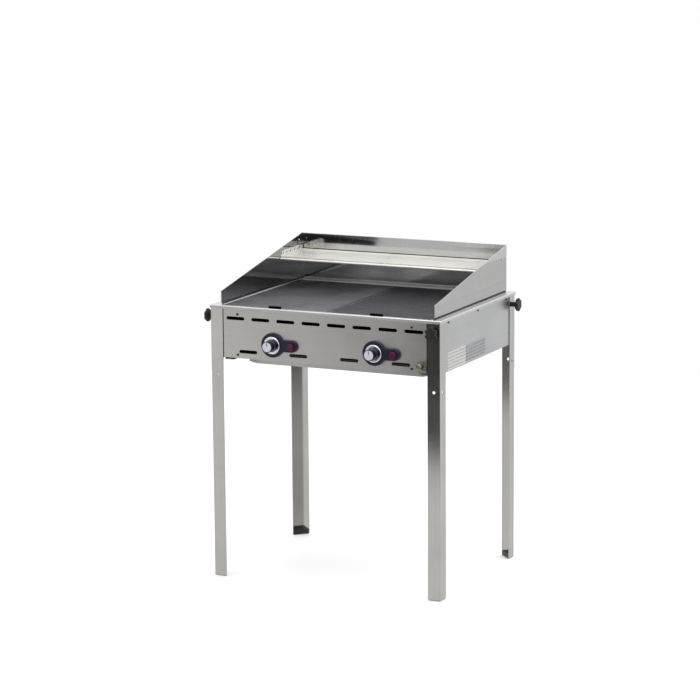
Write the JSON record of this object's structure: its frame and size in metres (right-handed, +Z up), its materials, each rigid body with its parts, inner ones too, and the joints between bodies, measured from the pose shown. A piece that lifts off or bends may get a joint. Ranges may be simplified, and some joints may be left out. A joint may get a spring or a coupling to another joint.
{
  "type": "gas grill",
  "caption": "Free-standing gas grill on angle legs with smooth and ribbed cooking plates, wind guard, warming shelf, control knobs with igniter buttons, and a drip tray.",
  "frame": {"origin": "on the floor, under the middle of the whole object's box", "axes": "+X to the right of a cook who stands at the controls, +Y towards the back, +Z up"},
  "size_m": [0.79, 0.6284, 0.9666],
  "materials": {
    "casing_steel": "satin",
    "panel_steel": "satin",
    "rim_steel": "polished",
    "leg_steel": "polished",
    "guard_steel": "polished",
    "shelf_steel": "satin",
    "tray_steel": "satin",
    "plate_iron": "seasoned",
    "burner_steel": "matt",
    "gas_brass": "satin",
    "pipe_steel": "satin",
    "fastener_steel": "satin",
    "black_plastic": "satin",
    "bezel_gloss": "gloss",
    "knob_grey": "satin",
    "knob_chrome": "polished",
    "button_red": "gloss",
    "ceramic": "glazed"
  },
  "bodies": {
    "chassis": {"left_side_panel": "casing_steel", "right_side_panel": "casing_steel", "rear_panel": "casing_steel", "control_panel": "panel_steel", "front_rails": "casing_steel", "control_baffle": "casing_steel", "rim_front": "rim_steel", "rim_rear": "rim_steel", "rim_left": "rim_steel", "rim_right": "rim_steel", "centre_bar": "casing_steel", "burner_left": "burner_steel", "burner_right": "burner_steel", "burner_rails": "casing_steel", "gas_manifold": "pipe_steel", "gas_valve_left": "gas_brass", "gas_valve_right": "gas_brass", "injectors": "gas_brass", "inlet_elbow": "gas_brass", "inlet_locknut": "gas_brass", "igniter_bodies": "black_plastic", "spark_electrodes": "ceramic", "thermocouples": "burner_steel", "bezel_left": "bezel_gloss", "bezel_right": "bezel_gloss", "leg_front_left": "leg_steel", "leg_front_right": "leg_steel", "leg_rear_left": "leg_steel", "leg_rear_right": "leg_steel", "leg_feet": "black_plastic", "leg_weld_nuts": "fastener_steel", "panel_screws": "fastener_steel", "side_screws": "fastener_steel", "tray_runners": "casing_steel"},
    "drip_tray": {"drip_tray": "tray_steel"},
    "smooth_plate": {"smooth_plate": "plate_iron"},
    "ribbed_plate": {"ribbed_plate": "plate_iron"},
    "wind_guard": {"guard_left_panel": "guard_steel", "guard_right_panel": "guard_steel", "guard_back_panel": "guard_steel", "guard_fasteners": "fastener_steel"},
    "warming_shelf": {"warming_shelf": "shelf_steel"},
    "valve_push_left": {"valve_plunger_left": "pipe_steel"},
    "control_left": {"valve_stem_left": "pipe_steel", "control_knob_left": "knob_grey", "knob_ring_left": "knob_chrome"},
    "igniter_left": {"igniter_button_left": "button_red"},
    "valve_push_right": {"valve_plunger_right": "pipe_steel"},
    "control_right": {"valve_stem_right": "pipe_steel", "control_knob_right": "knob_grey", "knob_ring_right": "knob_chrome"},
    "igniter_right": {"igniter_button_right": "button_red"},
    "clamp_stud_front_left": {"star_stud_front_left": "fastener_steel"},
    "clamp_knob_front_left": {"star_knob_front_left": "black_plastic"},
    "clamp_stud_front_right": {"star_stud_front_right": "fastener_steel"},
    "clamp_knob_front_right": {"star_knob_front_right": "black_plastic"},
    "clamp_stud_rear_right": {"star_stud_rear_right": "fastener_steel"},
    "clamp_knob_rear_right": {"star_knob_rear_right": "black_plastic"},
    "clamp_stud_rear_left": {"star_stud_rear_left": "fastener_steel"},
    "clamp_knob_rear_left": {"star_knob_rear_left": "black_plastic"}
  },
  "joints": [
    {"name": "control_push_left", "type": "slide", "parent": "chassis", "child": "valve_push_left", "axis": [0, 1, 0], "range_m": [0, 0.003], "stiffness_N_per_m": 900, "springref_m": -0.002},
    {"name": "control_turn_left", "type": "hinge", "parent": "valve_push_left", "child": "control_left", "pos_m": [-0.164, -0.31425, 0.7175], "axis": [0, -1, 0], "range_deg": [0, 180]},
    {"name": "igniter_push_left", "type": "slide", "parent": "chassis", "child": "igniter_left", "axis": [0, 1, 0], "range_m": [0, 0.005], "stiffness_N_per_m": 900, "springref_m": -0.002},
    {"name": "control_push_right", "type": "slide", "parent": "chassis", "child": "valve_push_right", "axis": [0, 1, 0], "range_m": [0, 0.003], "stiffness_N_per_m": 900, "springref_m": -0.002},
    {"name": "control_turn_right", "type": "hinge", "parent": "valve_push_right", "child": "control_right", "pos_m": [0.164, -0.31425, 0.7175], "axis": [0, -1, 0], "range_deg": [0, 180]},
    {"name": "igniter_push_right", "type": "slide", "parent": "chassis", "child": "igniter_right", "axis": [0, 1, 0], "range_m": [0, 0.005], "stiffness_N_per_m": 900, "springref_m": -0.002},
    {"name": "clamp_travel_front_left", "type": "slide", "parent": "chassis", "child": "clamp_stud_front_left", "axis": [-1, 0, 0], "range_m": [0, 0.00502]},
    {"name": "clamp_turn_front_left", "type": "hinge", "parent": "clamp_stud_front_left", "child": "clamp_knob_front_left", "pos_m": [-0.37, -0.25375, 0.789], "axis": [-1, 0, 0], "range_deg": [0, 1440]},
    {"name": "clamp_travel_front_right", "type": "slide", "parent": "chassis", "child": "clamp_stud_front_right", "axis": [0, -1, 0], "range_m": [0, 0.00502]},
    {"name": "clamp_turn_front_right", "type": "hinge", "parent": "clamp_stud_front_right", "child": "clamp_knob_front_right", "pos_m": [0.35, -0.27375, 0.789], "axis": [0, -1, 0], "range_deg": [0, 1440]},
    {"name": "clamp_travel_rear_right", "type": "slide", "parent": "chassis", "child": "clamp_stud_rear_right", "axis": [1, 0, 0], "range_m": [0, 0.00502]},
    {"name": "clamp_turn_rear_right", "type": "hinge", "parent": "clamp_stud_rear_right", "child": "clamp_knob_rear_right", "pos_m": [0.37, 0.26925, 0.789], "axis": [1, 0, 0], "range_deg": [0, 1440]},
    {"name": "clamp_travel_rear_left", "type": "slide", "parent": "chassis", "child": "clamp_stud_rear_left", "axis": [0, 1, 0], "range_m": [0, 0.00502]},
    {"name": "clamp_turn_rear_left", "type": "hinge", "parent": "clamp_stud_rear_left", "child": "clamp_knob_rear_left", "pos_m": [-0.35, 0.28925, 0.789], "axis": [0, 1, 0], "range_deg": [0, 1440]},
    {"name": "tray_slide", "type": "slide", "parent": "chassis", "child": "drip_tray", "axis": [0, -1, 0], "range_m": [0, 0.4]},
    {"name": "smooth_plate_lift", "type": "slide", "parent": "chassis", "child": "smooth_plate", "axis": [0, 0, 1], "range_m": [0, 0.06]},
    {"name": "ribbed_plate_lift", "type": "slide", "parent": "chassis", "child": "ribbed_plate", "axis": [0, 0, 1], "range_m": [0, 0.06]},
    {"name": "guard_lift", "type": "slide", "parent": "chassis", "child": "wind_guard", "axis": [0, 0, 1], "range_m": [0, 0.2]},
    {"name": "shelf_fold", "type": "hinge", "parent": "wind_guard", "child": "warming_shelf", "pos_m": [0, 0.25175, 0.9263], "axis": [-1, 0, 0], "range_deg": [0, 75]}
  ],
  "couplings": [
    {"joint": "clamp_travel_front_left", "follows": "clamp_turn_front_left", "m_per_rad": 0.00019894},
    {"joint": "clamp_travel_front_right", "follows": "clamp_turn_front_right", "m_per_rad": 0.00019894},
    {"joint": "clamp_travel_rear_right", "follows": "clamp_turn_rear_right", "m_per_rad": 0.00019894},
    {"joint": "clamp_travel_rear_left", "follows": "clamp_turn_rear_left", "m_per_rad": 0.00019894}
  ]
}
